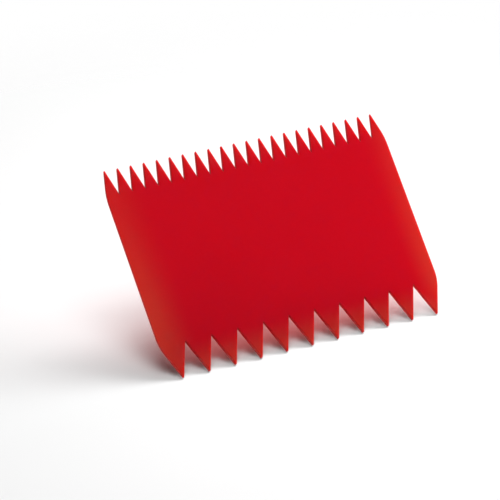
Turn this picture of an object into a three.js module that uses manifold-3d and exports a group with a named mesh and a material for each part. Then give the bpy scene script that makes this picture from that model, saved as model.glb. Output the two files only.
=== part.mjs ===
// A comb scraper for cream and dough, moulded as one thin plastic sheet. Fine pointed teeth run along
// one long edge, coarse pointed teeth along the other, and the two short sides are plain edges where
// the back thins out towards the rim. Lengths are in millimetres.
// The sheet lies on its back: X runs along the combs, Y from the coarse teeth to the fine teeth and Z
// through the thickness, to the flat front. The origin is the middle of the back.

import * as THREE from "three";
import { mergeVertices } from "three/addons/utils/BufferGeometryUtils.js";
import Module from "manifold-3d";

// Driving dimensions
const sheetWidth = 110; // from one plain side to the other
const webHeight = 53.6; // from the roots of the coarse teeth to the roots of the fine teeth
const sheetThickness = 1.2;
const sideThickness = 0.8; // at the rim of the plain sides
const sideThinning = 13; // how far in from a plain side the back starts to thin out
const fineToothCount = 22;
const fineToothHeight = 9.5; // from root to point, before they are rounded
const coarseToothCount = 11;
const coarseToothHeight = 12.4; // from root to point, before they are rounded
const pointRounding = 0.8; // how far along each flank the rounding of a point reaches
const rootRounding = 0.5; // how far along each flank the rounding of a root reaches
const cornerRounding = 3; // how far the rounding reaches from where a comb meets a plain side

// How finely curves are divided
const roundingSteps = 4;
const thinningSteps = 6;

// Places that follow from the sizes above
const halfWidth = sheetWidth / 2;
const overallHeight = coarseToothHeight + webHeight + fineToothHeight;
const coarsePointY = -overallHeight / 2;
const coarseRootY = coarsePointY + coarseToothHeight;
const finePointY = overallHeight / 2;
const fineRootY = finePointY - fineToothHeight;

const wasm = await Module();
wasm.setup();

const redPlastic = new THREE.MeshStandardMaterial({ color: 0xbe0d1e, roughness: 0.38, metalness: 0 });

// The corners of one comb from the left side to the right. Whole teeth fill the width of the sheet, so
// the first and last flanks start where the plain sides end.
function combCorners(toothCount, rootY, pointY) {
  const pitch = sheetWidth / toothCount;
  const corners = [];
  for (let tooth = 0; tooth < toothCount; tooth++) {
    const rootX = -halfWidth + tooth * pitch;
    const rounding = tooth > 0 ? rootRounding : cornerRounding;
    corners.push({ place: new THREE.Vector2(rootX, rootY), rounding });
    corners.push({ place: new THREE.Vector2(rootX + pitch / 2, pointY), rounding: pointRounding });
  }
  corners.push({ place: new THREE.Vector2(halfWidth, rootY), rounding: cornerRounding });
  return corners;
}

// The point that lies a given distance from one corner on the way to another.
function pointTowards(from, to, distance) {
  const step = to.clone().sub(from).setLength(distance);
  return step.add(from);
}

// The outline of the sheet seen from the front: along the coarse comb, up the right side, back along
// the fine comb and down the left side.
function sheetOutline() {
  const coarseComb = combCorners(coarseToothCount, coarseRootY, coarsePointY);
  const fineComb = combCorners(fineToothCount, fineRootY, finePointY);
  const corners = [...coarseComb, ...fineComb.reverse()];
  const outline = new THREE.Shape();
  for (let i = 0; i < corners.length; i++) {
    const { place, rounding } = corners[i];
    const before = corners.at(i - 1).place;
    const after = corners[(i + 1) % corners.length].place;
    const start = pointTowards(place, before, rounding);
    const end = pointTowards(place, after, rounding);
    if (i === 0) {
      outline.moveTo(start.x, start.y);
    } else {
      outline.lineTo(start.x, start.y);
    }
    outline.quadraticCurveTo(place.x, place.y, end.x, end.y);
  }
  outline.closePath();
  return outline;
}

// The cross-section along the combs: flat at the front, and at the back flat in the middle and rising
// to the rim of each plain side in a smooth curve.
function sheetSection() {
  const flatEnd = halfWidth - sideThinning;
  const curveMiddle = halfWidth - sideThinning / 2;
  const rimBack = sheetThickness - sideThickness;
  const section = new THREE.Shape();
  section.moveTo(-flatEnd, 0);
  section.lineTo(flatEnd, 0);
  section.quadraticCurveTo(curveMiddle, 0, halfWidth, rimBack);
  section.lineTo(halfWidth, sheetThickness);
  section.lineTo(-halfWidth, sheetThickness);
  section.lineTo(-halfWidth, rimBack);
  section.quadraticCurveTo(-curveMiddle, 0, -flatEnd, 0);
  section.closePath();
  return section;
}

// A closed geometry as a solid that can be cut.
function toSolid(geometry) {
  const bare = geometry.clone();
  bare.deleteAttribute("normal");
  bare.deleteAttribute("uv");
  const merged = mergeVertices(bare);
  const mesh = new wasm.Mesh({
    numProp: 3,
    vertProperties: new Float32Array(merged.attributes.position.array),
    triVerts: new Uint32Array(merged.index.array),
  });
  return new wasm.Manifold(mesh);
}

// A cut solid as a geometry again.
function toGeometry(solid) {
  const mesh = solid.getMesh();
  const geometry = new THREE.BufferGeometry();
  geometry.setAttribute("position", new THREE.BufferAttribute(mesh.vertProperties, mesh.numProp));
  geometry.setIndex(new THREE.BufferAttribute(mesh.triVerts, 1));
  geometry.computeVertexNormals();
  return geometry;
}

// The sheet is what the outline, raised through the thickness, and the section, drawn out along the
// height, have in common. Each runs past the other where it is cut.
function sheetGeometry() {
  const overrun = sheetThickness;
  const raised = new THREE.ExtrudeGeometry(sheetOutline(), {
    depth: sheetThickness + 2 * overrun,
    curveSegments: roundingSteps,
    bevelEnabled: false,
  });
  raised.translate(0, 0, -overrun);
  const drawn = new THREE.ExtrudeGeometry(sheetSection(), {
    depth: overallHeight + 2 * overrun,
    curveSegments: thinningSteps,
    bevelEnabled: false,
  });
  drawn.rotateX(Math.PI / 2);
  drawn.translate(0, finePointY + overrun, 0);
  return toGeometry(toSolid(raised).intersect(toSolid(drawn)));
}

const scraperSheet = new THREE.Mesh(sheetGeometry(), redPlastic);
scraperSheet.name = "scraper_sheet";

const scraper = new THREE.Group();
scraper.add(scraperSheet);

export default scraper;
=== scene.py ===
import math

import bmesh
import bpy
from mathutils import Matrix, Vector


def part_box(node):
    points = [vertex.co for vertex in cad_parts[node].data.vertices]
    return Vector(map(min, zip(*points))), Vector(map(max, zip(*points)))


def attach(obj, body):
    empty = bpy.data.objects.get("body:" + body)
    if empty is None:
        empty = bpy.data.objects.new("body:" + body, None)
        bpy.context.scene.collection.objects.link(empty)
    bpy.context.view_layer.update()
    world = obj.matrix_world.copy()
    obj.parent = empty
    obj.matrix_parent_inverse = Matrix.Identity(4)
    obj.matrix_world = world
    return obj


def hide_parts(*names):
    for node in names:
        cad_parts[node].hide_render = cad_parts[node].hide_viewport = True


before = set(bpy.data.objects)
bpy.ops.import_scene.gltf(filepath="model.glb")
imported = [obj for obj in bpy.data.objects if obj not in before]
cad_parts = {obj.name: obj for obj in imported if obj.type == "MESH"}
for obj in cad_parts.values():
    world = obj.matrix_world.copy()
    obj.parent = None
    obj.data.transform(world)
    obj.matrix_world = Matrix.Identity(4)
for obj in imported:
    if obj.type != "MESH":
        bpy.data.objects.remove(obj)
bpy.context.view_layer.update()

mm = 0.001
scene = bpy.context.scene
sheetLow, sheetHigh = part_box("scraper_sheet")
halfWidth = sheetHigh.x
thickness = sheetHigh.z
print("frame loaded: card %.1f mm wide, %.2f mm thick" % (2 * halfWidth / mm, thickness / mm))


# Set-up: the card stands on its coarse points and leans back, seen from its left
setup = {
    "lean": 40.54,  # degrees back from upright
    "viewSide": 30.61,  # degrees round to the card's left
    "viewHeight": 23.18,  # degrees above the table
    "viewDistance": 1054.1 * mm,
    "aim": (-10.65 * mm, -0.48 * mm),  # the point of the front that the camera looks at
    "lens": 225.35,
    "sensor": 36.0,
    "nearClip": 10 * mm,
}


def tableAxes():
    lean = math.radians(setup["lean"])
    up = Vector((0, math.cos(lean), math.sin(lean)))
    along = Vector((1, 0, 0))
    return along, up.cross(along), up  # along the combs, away behind the card, up


along, behind, up = tableAxes()
contact = Vector((0, sheetLow.y, 0))  # the line of coarse points on the table


def onTable(x, y, z):
    return contact + along * x + behind * y + up * z


def facing(position, target):
    look = (target - position).normalized()
    right = look.cross(up).normalized()
    turn = Matrix((right, right.cross(look), -look)).transposed().to_4x4()
    return Matrix.Translation(position) @ turn


def addCamera():
    side = math.radians(setup["viewSide"])
    height = math.radians(setup["viewHeight"])
    level = -along * math.sin(side) - behind * math.cos(side)
    towards = level * math.cos(height) + up * math.sin(height)
    aim = Vector((*setup["aim"], thickness))
    data = bpy.data.cameras.new("photoCamera")
    data.sensor_width = setup["sensor"]
    data.lens = setup["lens"]
    data.clip_start = setup["nearClip"]
    camera = bpy.data.objects.new("photoCamera", data)
    camera.matrix_world = facing(aim + towards * setup["viewDistance"], aim)
    scene.collection.objects.link(camera)
    scene.camera = camera


addCamera()
print("camera placed")


# Card
card = {
    "coarseTeeth": 11,
    "coarseHeight": 12.4 * mm,
    "fineTeeth": 22,
    "fineHeight": 9.5 * mm,
    "webHeight": 53.6 * mm,
    "pointReach": 0.8 * mm,  # rounding of a point along its flanks
    "rootReach": 0.5 * mm,
    "cornerReach": 3.0 * mm,  # where a comb meets a plain side
    "cornerSteps": 6,
    "rimRadius": 0.15 * mm,  # softened edges round both faces
    "rimSteps": 3,
    "sideThinning": 13 * mm,  # the back thins out towards the plain sides
    "sideDrop": 0.4 * mm,
    "thinningCuts": 6,
    "cutSlack": 1e-7,  # metres, corners nearer than this to a cut count as on it
    "flatWeight": 100,  # large faces decide the shading next to them
}
cardHeight = card["coarseHeight"] + card["webHeight"] + card["fineHeight"]
coarseRoot = -cardHeight / 2 + card["coarseHeight"]
fineRoot = cardHeight / 2 - card["fineHeight"]


def combCorners(teeth, root, point, inset):
    pitch = 2 * halfWidth / teeth
    flank = math.atan2(pitch / 2, abs(point - root))
    outward = math.copysign(1, point - root)
    shift = -outward * inset / math.sin(flank)  # a row of teeth drawn in moves straight back
    shorten = inset / math.tan(flank)
    sideLevel = root + shift + outward * shorten
    corners = [(-halfWidth + inset, sideLevel, card["cornerReach"])]
    for i in range(teeth):
        middle = -halfWidth + (i + 0.5) * pitch
        corners.append((middle, point + shift, card["pointReach"] - shorten))
        if i < teeth - 1:
            corners.append((middle + pitch / 2, root + shift, card["rootReach"] + shorten))
    corners.append((halfWidth - inset, sideLevel, card["cornerReach"]))
    return corners


def outline(inset):
    coarse = combCorners(card["coarseTeeth"], coarseRoot, -cardHeight / 2, inset)
    fine = combCorners(card["fineTeeth"], fineRoot, cardHeight / 2, inset)
    corners = coarse + fine[::-1]
    points = []
    for i, (x, y, reach) in enumerate(corners):
        here = Vector((x, y))
        before = Vector(corners[i - 1][:2]) - here
        after = Vector(corners[(i + 1) % len(corners)][:2]) - here
        start = here + before.normalized() * reach
        end = here + after.normalized() * reach
        for k in range(card["cornerSteps"] + 1):
            t = k / card["cornerSteps"]
            points.append(start * (1 - t) ** 2 + here * 2 * t * (1 - t) + end * t ** 2)
    return points


def rimLevels():
    levels = []
    for k in range(card["rimSteps"] + 1):  # from the front face over its softened edge
        turn = math.pi / 2 * k / card["rimSteps"]
        drop = card["rimRadius"] * (1 - math.cos(turn))
        levels.append((card["rimRadius"] * (1 - math.sin(turn)), thickness - drop))
    return levels + [(inset, thickness - z) for inset, z in reversed(levels)]


def thinning(x):
    past = max(0.0, abs(x) - (halfWidth - card["sideThinning"]))
    return card["sideDrop"] * (past / card["sideThinning"]) ** 2


def cutPlanes():
    cuts = [(Vector((0, level, 0)), Vector((0, 1, 0))) for level in (coarseRoot, fineRoot)]
    for k in range(card["thinningCuts"]):
        x = halfWidth - card["sideThinning"] * (k + 1) / card["thinningCuts"]
        cuts += [(Vector((side * x, 0, 0)), Vector((1, 0, 0))) for side in (-1, 1)]
    return cuts


def makeCard():
    bm = bmesh.new()
    loops = [[bm.verts.new((p.x, p.y, z)) for p in outline(inset)] for inset, z in rimLevels()]
    count = len(loops[0])
    for upper, lower in zip(loops, loops[1:]):
        for i in range(count):
            j = (i + 1) % count
            rim = bm.faces.new((upper[j], upper[i], lower[i], lower[j]))
            rim.material_index = 1
    bm.faces.new(loops[0])
    bm.faces.new(list(reversed(loops[-1])))
    for place, normal in cutPlanes():
        everything = bm.verts[:] + bm.edges[:] + bm.faces[:]
        bmesh.ops.bisect_plane(
            bm, geom=everything, plane_co=place, plane_no=normal, dist=card["cutSlack"])
    for v in bm.verts:
        if v.co.z < thickness / 2:
            v.co.z += thinning(v.co.x)
    for face in bm.faces:
        face.smooth = True
    bmesh.ops.recalc_face_normals(bm, faces=bm.faces[:])
    mesh = bpy.data.meshes.new("scraperCard")
    bm.to_mesh(mesh)
    bm.free()
    piece = bpy.data.objects.new("scraperCard", mesh)
    scene.collection.objects.link(piece)
    weighted = piece.modifiers.new("flatFaces", "WEIGHTED_NORMAL")
    weighted.mode = "FACE_AREA"
    weighted.weight = card["flatWeight"]
    return piece


scraperCard = makeCard()
print("card made: %d faces" % len(scraperCard.data.polygons))


# Plastic: one moulding, so face and rim share the same colour and surface effects, but the rim's
# colours are darkened as painted shade on the edges
plastic = {
    "red": (0.368, 0.0034, 0.0128),
    "thinRed": (0.363, 0.041, 0.024),  # painted glow: paler red standing in for light that comes through where the card is thinner
    "lightReach": (9.0, 0.35, 0.30),  # mm that red, green and blue light travel inside
    "ior": 1.49,
    "specular": 0.22,
    "leftZone": 15 * mm,  # width of the painted glow band at each plain side
    "rightZone": 10 * mm,
    "zonePast": 3 * mm,  # a painted glow band would be palest this far outside the card
    "zoneTop": 0.40,  # strength of the painted glow bands at the fine comb, full at the coarse comb
    "coarseTint": 0.75,  # how much painted glow the tooth points get
    "fineTint": 0.35,
    "drift": 0.015,  # uneven pigment
    "grainDepth": 0.004 * mm,
    "warpDepth": 0.02 * mm,
    "markStretch": (60, 2600, 60),  # faint marks run along the combs
    # the first value scales both colours, darkening the rim as painted shade; the third value is
    # the least share of the painted glow red
    "face": {"paintedShadeTone": 1.0, "roughness": 0.25, "leastPaintedGlow": 0.0, "marks": 0.05},
    # the rim is the face plastic darkened as painted shade on the edges, with some painted glow
    # always mixed in
    "rim": {"paintedShadeTone": 0.6, "roughness": 0.34, "leastPaintedGlow": 0.18, "marks": 0.0},
}
patterns = {  # noise: its scale per metre, the span of it that counts and what that turns into
    "cloud": {"scale": 90, "detail": 3, "span": (0.3, 0.7), "into": (0.82, 1.0)},
    "broad": {"scale": 28, "detail": 2, "span": (0.3, 0.7), "into": (-1.0, 1.0)},
    "speck": {"scale": 900, "detail": 4, "span": (0.35, 0.65), "into": (-0.7, 0.7)},
    "marks": {"scale": 1, "detail": 2, "span": (0.62, 0.74), "into": (0.0, 1.0)},
    "worn": {"scale": 70, "detail": 3, "span": (0.45, 0.65), "into": (0.0, 1.0)},
    "polish": {"scale": 120, "detail": 4, "span": (0.3, 0.7), "into": (0.97, 1.05)},
    "grain": {"scale": 2200, "detail": 3},
    "warp": {"scale": 22, "detail": 1},
}


def newGroup(name, inputs, outputs):
    group = bpy.data.node_groups.new(name, "ShaderNodeTree")
    for label in inputs:
        group.interface.new_socket(label, in_out="INPUT", socket_type="NodeSocketFloat")
    for label in outputs:
        group.interface.new_socket(label, in_out="OUTPUT", socket_type="NodeSocketFloat")
    given = group.nodes.new("NodeGroupInput").outputs
    result = group.nodes.new("NodeGroupOutput").inputs
    return group, group.nodes, group.links, given, result


def feed(links, socket, value):
    if isinstance(value, (int, float, tuple)):
        socket.default_value = value
    else:
        links.new(value, socket)


def mathNode(nodes, links, operation, first, second):
    node = nodes.new("ShaderNodeMath")
    node.operation = operation
    feed(links, node.inputs[0], first)
    feed(links, node.inputs[1], second)
    return node.outputs[0]


def ramp(nodes, links, value, low, high, start=0.0, end=1.0):
    node = nodes.new("ShaderNodeMapRange")
    node.interpolation_type = "SMOOTHSTEP"
    links.new(value, node.inputs["Value"])
    limits = {"From Min": low, "From Max": high, "To Min": start, "To Max": end}
    for label, number in limits.items():
        node.inputs[label].default_value = number
    return node.outputs["Result"]


def noise(nodes, links, coords, pattern):
    node = nodes.new("ShaderNodeTexNoise")
    links.new(coords, node.inputs["Vector"])
    node.inputs["Scale"].default_value = pattern["scale"]
    node.inputs["Detail"].default_value = pattern["detail"]
    return node.outputs["Fac"]


def patches(nodes, links, coords, pattern):
    value = noise(nodes, links, coords, pattern)
    return ramp(nodes, links, value, *pattern["span"], *pattern["into"])


# Painted glow mask: paler bands at the plain sides, stronger towards the coarse comb, and paler
# tooth points, standing in for light that comes through the thinner parts of the plastic
def thinZonesGroup():
    group, nodes, links, given, result = newGroup("thinZones", ["Least"], ["Mask"])
    coords = nodes.new("ShaderNodeTexCoord").outputs["Object"]
    place = nodes.new("ShaderNodeSeparateXYZ")
    links.new(coords, place.inputs["Vector"])
    x, y = place.outputs["X"], place.outputs["Y"]
    peak = halfWidth + plastic["zonePast"]
    left = ramp(nodes, links, x, -halfWidth + plastic["leftZone"], -peak)
    right = ramp(nodes, links, x, halfWidth - plastic["rightZone"], peak)
    sides = mathNode(nodes, links, "ADD", left, right)
    lower = ramp(nodes, links, y, fineRoot, coarseRoot, plastic["zoneTop"], 1.0)
    sides = mathNode(nodes, links, "MULTIPLY", sides, lower)
    coarse = ramp(nodes, links, y, coarseRoot, sheetLow.y, 0.0, plastic["coarseTint"])
    fine = ramp(nodes, links, y, fineRoot, sheetHigh.y, 0.0, plastic["fineTint"])
    points = mathNode(nodes, links, "ADD", coarse, fine)
    mask = mathNode(nodes, links, "MAXIMUM", sides, points)
    cloud = patches(nodes, links, coords, patterns["cloud"])
    mask = mathNode(nodes, links, "MULTIPLY", mask, cloud)
    links.new(mathNode(nodes, links, "MAXIMUM", mask, given["Least"]), result["Mask"])
    return group


def pigmentGroup():
    group, nodes, links, given, result = newGroup("pigmentDrift", ["Drift"], ["Shade"])
    coords = nodes.new("ShaderNodeTexCoord").outputs["Object"]
    broad = patches(nodes, links, coords, patterns["broad"])
    speck = patches(nodes, links, coords, patterns["speck"])
    uneven = mathNode(nodes, links, "ADD", broad, speck)
    uneven = mathNode(nodes, links, "MULTIPLY", uneven, given["Drift"])
    links.new(mathNode(nodes, links, "ADD", uneven, 1.0), result["Shade"])
    return group


def surfaceGroup():
    inputs = ["Roughness", "Grain", "Warp", "Marks"]
    group, nodes, links, given, result = newGroup("mouldedSurface", inputs, ["Roughness", "Height"])
    coords = nodes.new("ShaderNodeTexCoord").outputs["Object"]
    stretch = nodes.new("ShaderNodeMapping")
    links.new(coords, stretch.inputs["Vector"])
    stretch.inputs["Scale"].default_value = plastic["markStretch"]
    streaks = patches(nodes, links, stretch.outputs["Vector"], patterns["marks"])
    worn = patches(nodes, links, coords, patterns["worn"])
    marks = mathNode(nodes, links, "MULTIPLY", streaks, worn)
    marks = mathNode(nodes, links, "MULTIPLY", marks, given["Marks"])
    rough = patches(nodes, links, coords, patterns["polish"])
    rough = mathNode(nodes, links, "ADD", rough, marks)
    rough = mathNode(nodes, links, "MULTIPLY", rough, given["Roughness"])
    links.new(rough, result["Roughness"])
    grain = noise(nodes, links, coords, patterns["grain"])
    grain = mathNode(nodes, links, "MULTIPLY", grain, given["Grain"])
    warp = noise(nodes, links, coords, patterns["warp"])
    warp = mathNode(nodes, links, "MULTIPLY", warp, given["Warp"])
    links.new(mathNode(nodes, links, "ADD", grain, warp), result["Height"])
    return group


def newMaterial(name):
    material = bpy.data.materials.new(name)
    material.use_nodes = True
    return material, material.node_tree.nodes, material.node_tree.links


def addGroup(nodes, group, **values):
    node = nodes.new("ShaderNodeGroup")
    node.node_tree = group
    for label, value in values.items():
        node.inputs[label].default_value = value
    return node.outputs


def mixColour(nodes, links, blend, factor, first, second):
    node = nodes.new("ShaderNodeMix")
    node.data_type = "RGBA"
    node.blend_type = blend
    feed(links, node.inputs["Factor"], factor)
    feed(links, node.inputs["A"], first)
    feed(links, node.inputs["B"], second)
    return node.outputs["Result"]


def makePlastic(name, groups, finish):
    material, nodes, links = newMaterial(name)
    shader = nodes["Principled BSDF"]
    # mask of the painted glow, where the colour stands in for light coming through the plastic
    thin = addGroup(nodes, groups["thin"], Least=finish["leastPaintedGlow"])["Mask"]
    shade = addGroup(nodes, groups["pigment"], Drift=plastic["drift"])["Shade"]
    surface = addGroup(
        nodes, groups["surface"], Roughness=finish["roughness"], Marks=finish["marks"],
        Grain=plastic["grainDepth"], Warp=plastic["warpDepth"])
    # on the rim both colours are darkened as painted shade
    red, thinRed = [(*(c * finish["paintedShadeTone"] for c in plastic[k]), 1) for k in ("red", "thinRed")]
    colour = mixColour(nodes, links, "MIX", thin, red, thinRed)
    colour = mixColour(nodes, links, "MULTIPLY", 1.0, colour, shade)
    links.new(colour, shader.inputs["Base Color"])
    links.new(surface["Roughness"], shader.inputs["Roughness"])
    bump = nodes.new("ShaderNodeBump")
    bump.inputs["Distance"].default_value = 1.0  # heights come in metres
    links.new(surface["Height"], bump.inputs["Height"])
    links.new(bump.outputs["Normal"], shader.inputs["Normal"])
    shader.inputs["IOR"].default_value = plastic["ior"]
    shader.inputs["Specular IOR Level"].default_value = plastic["specular"]
    shader.inputs["Subsurface Weight"].default_value = 1.0
    shader.inputs["Subsurface Radius"].default_value = plastic["lightReach"]
    shader.inputs["Subsurface Scale"].default_value = mm
    return material


effects = {"thin": thinZonesGroup(), "pigment": pigmentGroup(), "surface": surfaceGroup()}
scraperCard.data.materials.append(makePlastic("redPlasticFace", effects, plastic["face"]))
scraperCard.data.materials.append(makePlastic("redPlasticRim", effects, plastic["rim"]))
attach(scraperCard, "root")
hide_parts("scraper_sheet")
print("plastic set")


# Studio, in metres and watts
studio = {
    "floorSize": 0.72,
    "fadeFrom": 0.12,  # the table melts into the white beyond this
    "floorWhite": 0.82,
    "floorRoughness": 0.7,
    "skyLight": 0.015,
    "lightAim": (0, 0.02, 0.02),  # the place that all softboxes face
    "inGloss": ("overhead", "rightLamp"),  # softboxes that the plastic mirrors
}
softboxes = {  # places over the table: right of the card, behind it, up
    "rightWall": {"place": (0.685, 0.184, 0.554), "size": 0.80, "power": 3.3},
    "rightLow": {"place": (0.685, -0.030, 0.305), "size": 0.40, "power": 2.3},
    "rightBack": {"place": (0.281, 0.281, 0.636), "size": 0.40, "power": 1.4},
    "rightLamp": {"place": (0.130, 0.100, 0.260), "size": 0.12, "power": 0.28},
    "overhead": {"place": (0.052, 0.0, 0.748), "size": 0.45, "power": 1.0},
    "frontTop": {"place": (-0.140, -0.243, 0.695), "size": 0.40, "power": 2.5},
    "frontFill": {"place": (-0.106, -0.756, 0.477), "size": 0.40, "power": 0.60},
}
glow = {  # red light that comes through the card to the table behind it
    "colour": (1, 0.03, 0.03),
    "power": 0.0082,
    "narrower": 18 * mm,  # than the card
    "toRight": 5 * mm,
    "offBack": 1 * mm,
}


def makeFloor():
    half = studio["floorSize"] / 2
    corners = [(-half, -half, 0), (half, -half, 0), (half, half, 0), (-half, half, 0)]
    mesh = bpy.data.meshes.new("tableTop")
    mesh.from_pydata(corners, [], [(0, 1, 2, 3)])
    floor = bpy.data.objects.new("tableTop", mesh)
    turn = Matrix((along, behind, up)).transposed().to_4x4()
    floor.matrix_world = Matrix.Translation(contact) @ turn
    scene.collection.objects.link(floor)
    material, nodes, links = newMaterial("whiteTable")
    shader = nodes["Principled BSDF"]
    white = studio["floorWhite"]
    shader.inputs["Base Color"].default_value = (white, white, white, 1)
    shader.inputs["Roughness"].default_value = studio["floorRoughness"]
    shader.inputs["Specular IOR Level"].default_value = 0.0
    reach = nodes.new("ShaderNodeVectorMath")
    reach.operation = "LENGTH"
    links.new(nodes.new("ShaderNodeTexCoord").outputs["Object"], reach.inputs[0])
    faded = ramp(nodes, links, reach.outputs["Value"], studio["fadeFrom"], half)
    below = nodes.new("ShaderNodeNewGeometry").outputs["Backfacing"]  # seen through from below
    clear = nodes.new("ShaderNodeBsdfTransparent")
    mix = nodes.new("ShaderNodeMixShader")
    links.new(mathNode(nodes, links, "MAXIMUM", faded, below), mix.inputs["Fac"])
    links.new(shader.outputs["BSDF"], mix.inputs[1])
    links.new(clear.outputs["BSDF"], mix.inputs[2])
    links.new(mix.outputs["Shader"], nodes["Material Output"].inputs["Surface"])
    mesh.materials.append(material)


def makeSky():
    world = bpy.data.worlds.new("studioSky")
    scene.world = world
    world.use_nodes = True
    nodes, links = world.node_tree.nodes, world.node_tree.links
    path = nodes.new("ShaderNodeLightPath")
    seen = nodes.new("ShaderNodeBackground")
    seen.inputs["Color"].default_value = (1, 1, 1, 1)
    light = nodes["Background"]
    light.inputs["Color"].default_value = (1, 1, 1, 1)
    soft = mathNode(nodes, links, "MULTIPLY", path.outputs["Is Diffuse Ray"], studio["skyLight"])
    links.new(soft, light.inputs["Strength"])  # no sky in the plastic's gloss
    mix = nodes.new("ShaderNodeMixShader")
    links.new(path.outputs["Is Camera Ray"], mix.inputs["Fac"])
    links.new(light.outputs["Background"], mix.inputs[1])
    links.new(seen.outputs["Background"], mix.inputs[2])
    links.new(mix.outputs["Shader"], nodes["World Output"].inputs["Surface"])


def addSoftbox(name, box):
    data = bpy.data.lights.new(name, "AREA")
    data.shape = "SQUARE"
    data.size = box["size"]
    data.energy = box["power"]
    light = bpy.data.objects.new(name, data)
    light.matrix_world = facing(onTable(*box["place"]), onTable(*studio["lightAim"]))
    light.visible_glossy = name in studio["inGloss"]
    scene.collection.objects.link(light)


def addGlow():
    data = bpy.data.lights.new("throughGlow", "AREA")
    data.shape = "RECTANGLE"
    data.size = 2 * halfWidth - glow["narrower"]
    data.size_y = card["webHeight"]
    data.color = glow["colour"]
    data.energy = glow["power"]
    light = bpy.data.objects.new("throughGlow", data)
    light.location = (glow["toRight"], 0, -glow["offBack"])
    light.visible_camera = False
    scene.collection.objects.link(light)


makeFloor()
makeSky()
addGlow()
for name, box in softboxes.items():
    addSoftbox(name, box)
scene.view_settings.view_transform = "Standard"
print("studio lit")
